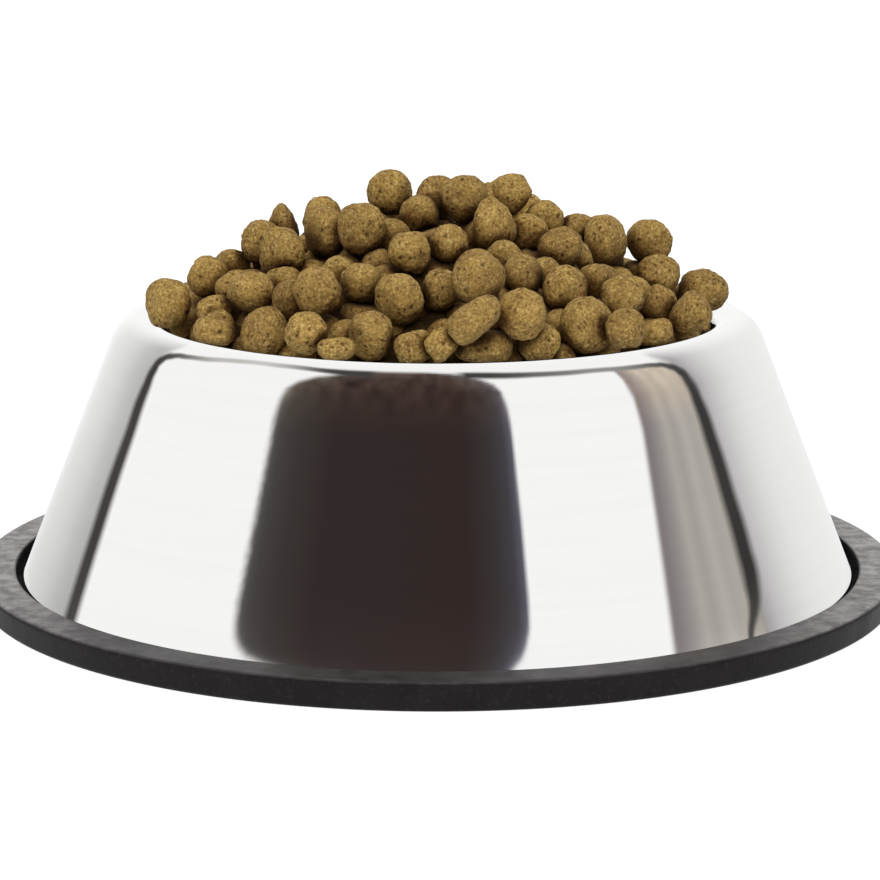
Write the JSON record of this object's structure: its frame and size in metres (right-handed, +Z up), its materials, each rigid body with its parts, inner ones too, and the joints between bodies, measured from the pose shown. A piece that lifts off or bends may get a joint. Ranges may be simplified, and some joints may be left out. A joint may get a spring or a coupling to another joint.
{
  "type": "pet bowl of dry food",
  "caption": "Flared non-tip stainless steel pet bowl with a rolled rim and a black rubber foot ring, heaped with brown dry dog food.",
  "frame": {"origin": "centre of the rubber ring's underside, on the bowl's axis", "axes": "+Z up along the bowl's axis, -Y towards the side that the picture shows"},
  "size_m": [0.2168, 0.2168, 0.097],
  "materials": {
    "steel": "mirror-polished stainless steel, not plated",
    "rubber": "satin black rubber",
    "food": "dull, baked, fine-grained"
  },
  "bodies": {
    "root": {"steel_bowl": "steel", "rubber_ring": "rubber", "kibble_bed": "food", "kibble_01": "food", "kibble_02": "food", "kibble_03": "food", "kibble_04": "food", "kibble_05": "food", "kibble_06": "food", "kibble_07": "food", "kibble_08": "food", "kibble_09": "food", "kibble_10": "food", "kibble_11": "food", "kibble_12": "food", "kibble_13": "food", "kibble_14": "food", "kibble_15": "food", "kibble_16": "food", "kibble_17": "food", "kibble_18": "food", "kibble_19": "food", "kibble_20": "food", "kibble_21": "food", "kibble_22": "food", "kibble_23": "food", "kibble_24": "food", "kibble_25": "food", "kibble_26": "food", "kibble_27": "food", "kibble_28": "food", "kibble_29": "food", "kibble_30": "food", "kibble_31": "food", "kibble_32": "food", "kibble_33": "food", "kibble_34": "food", "kibble_35": "food", "kibble_36": "food", "kibble_37": "food", "kibble_38": "food", "kibble_39": "food", "kibble_40": "food", "kibble_41": "food", "kibble_42": "food", "kibble_43": "food", "kibble_44": "food", "kibble_45": "food", "kibble_46": "food", "kibble_47": "food", "kibble_48": "food", "kibble_49": "food", "kibble_50": "food", "kibble_51": "food", "kibble_52": "food", "kibble_53": "food", "kibble_54": "food", "kibble_55": "food", "kibble_56": "food", "kibble_57": "food"}
  },
  "joints": []
}
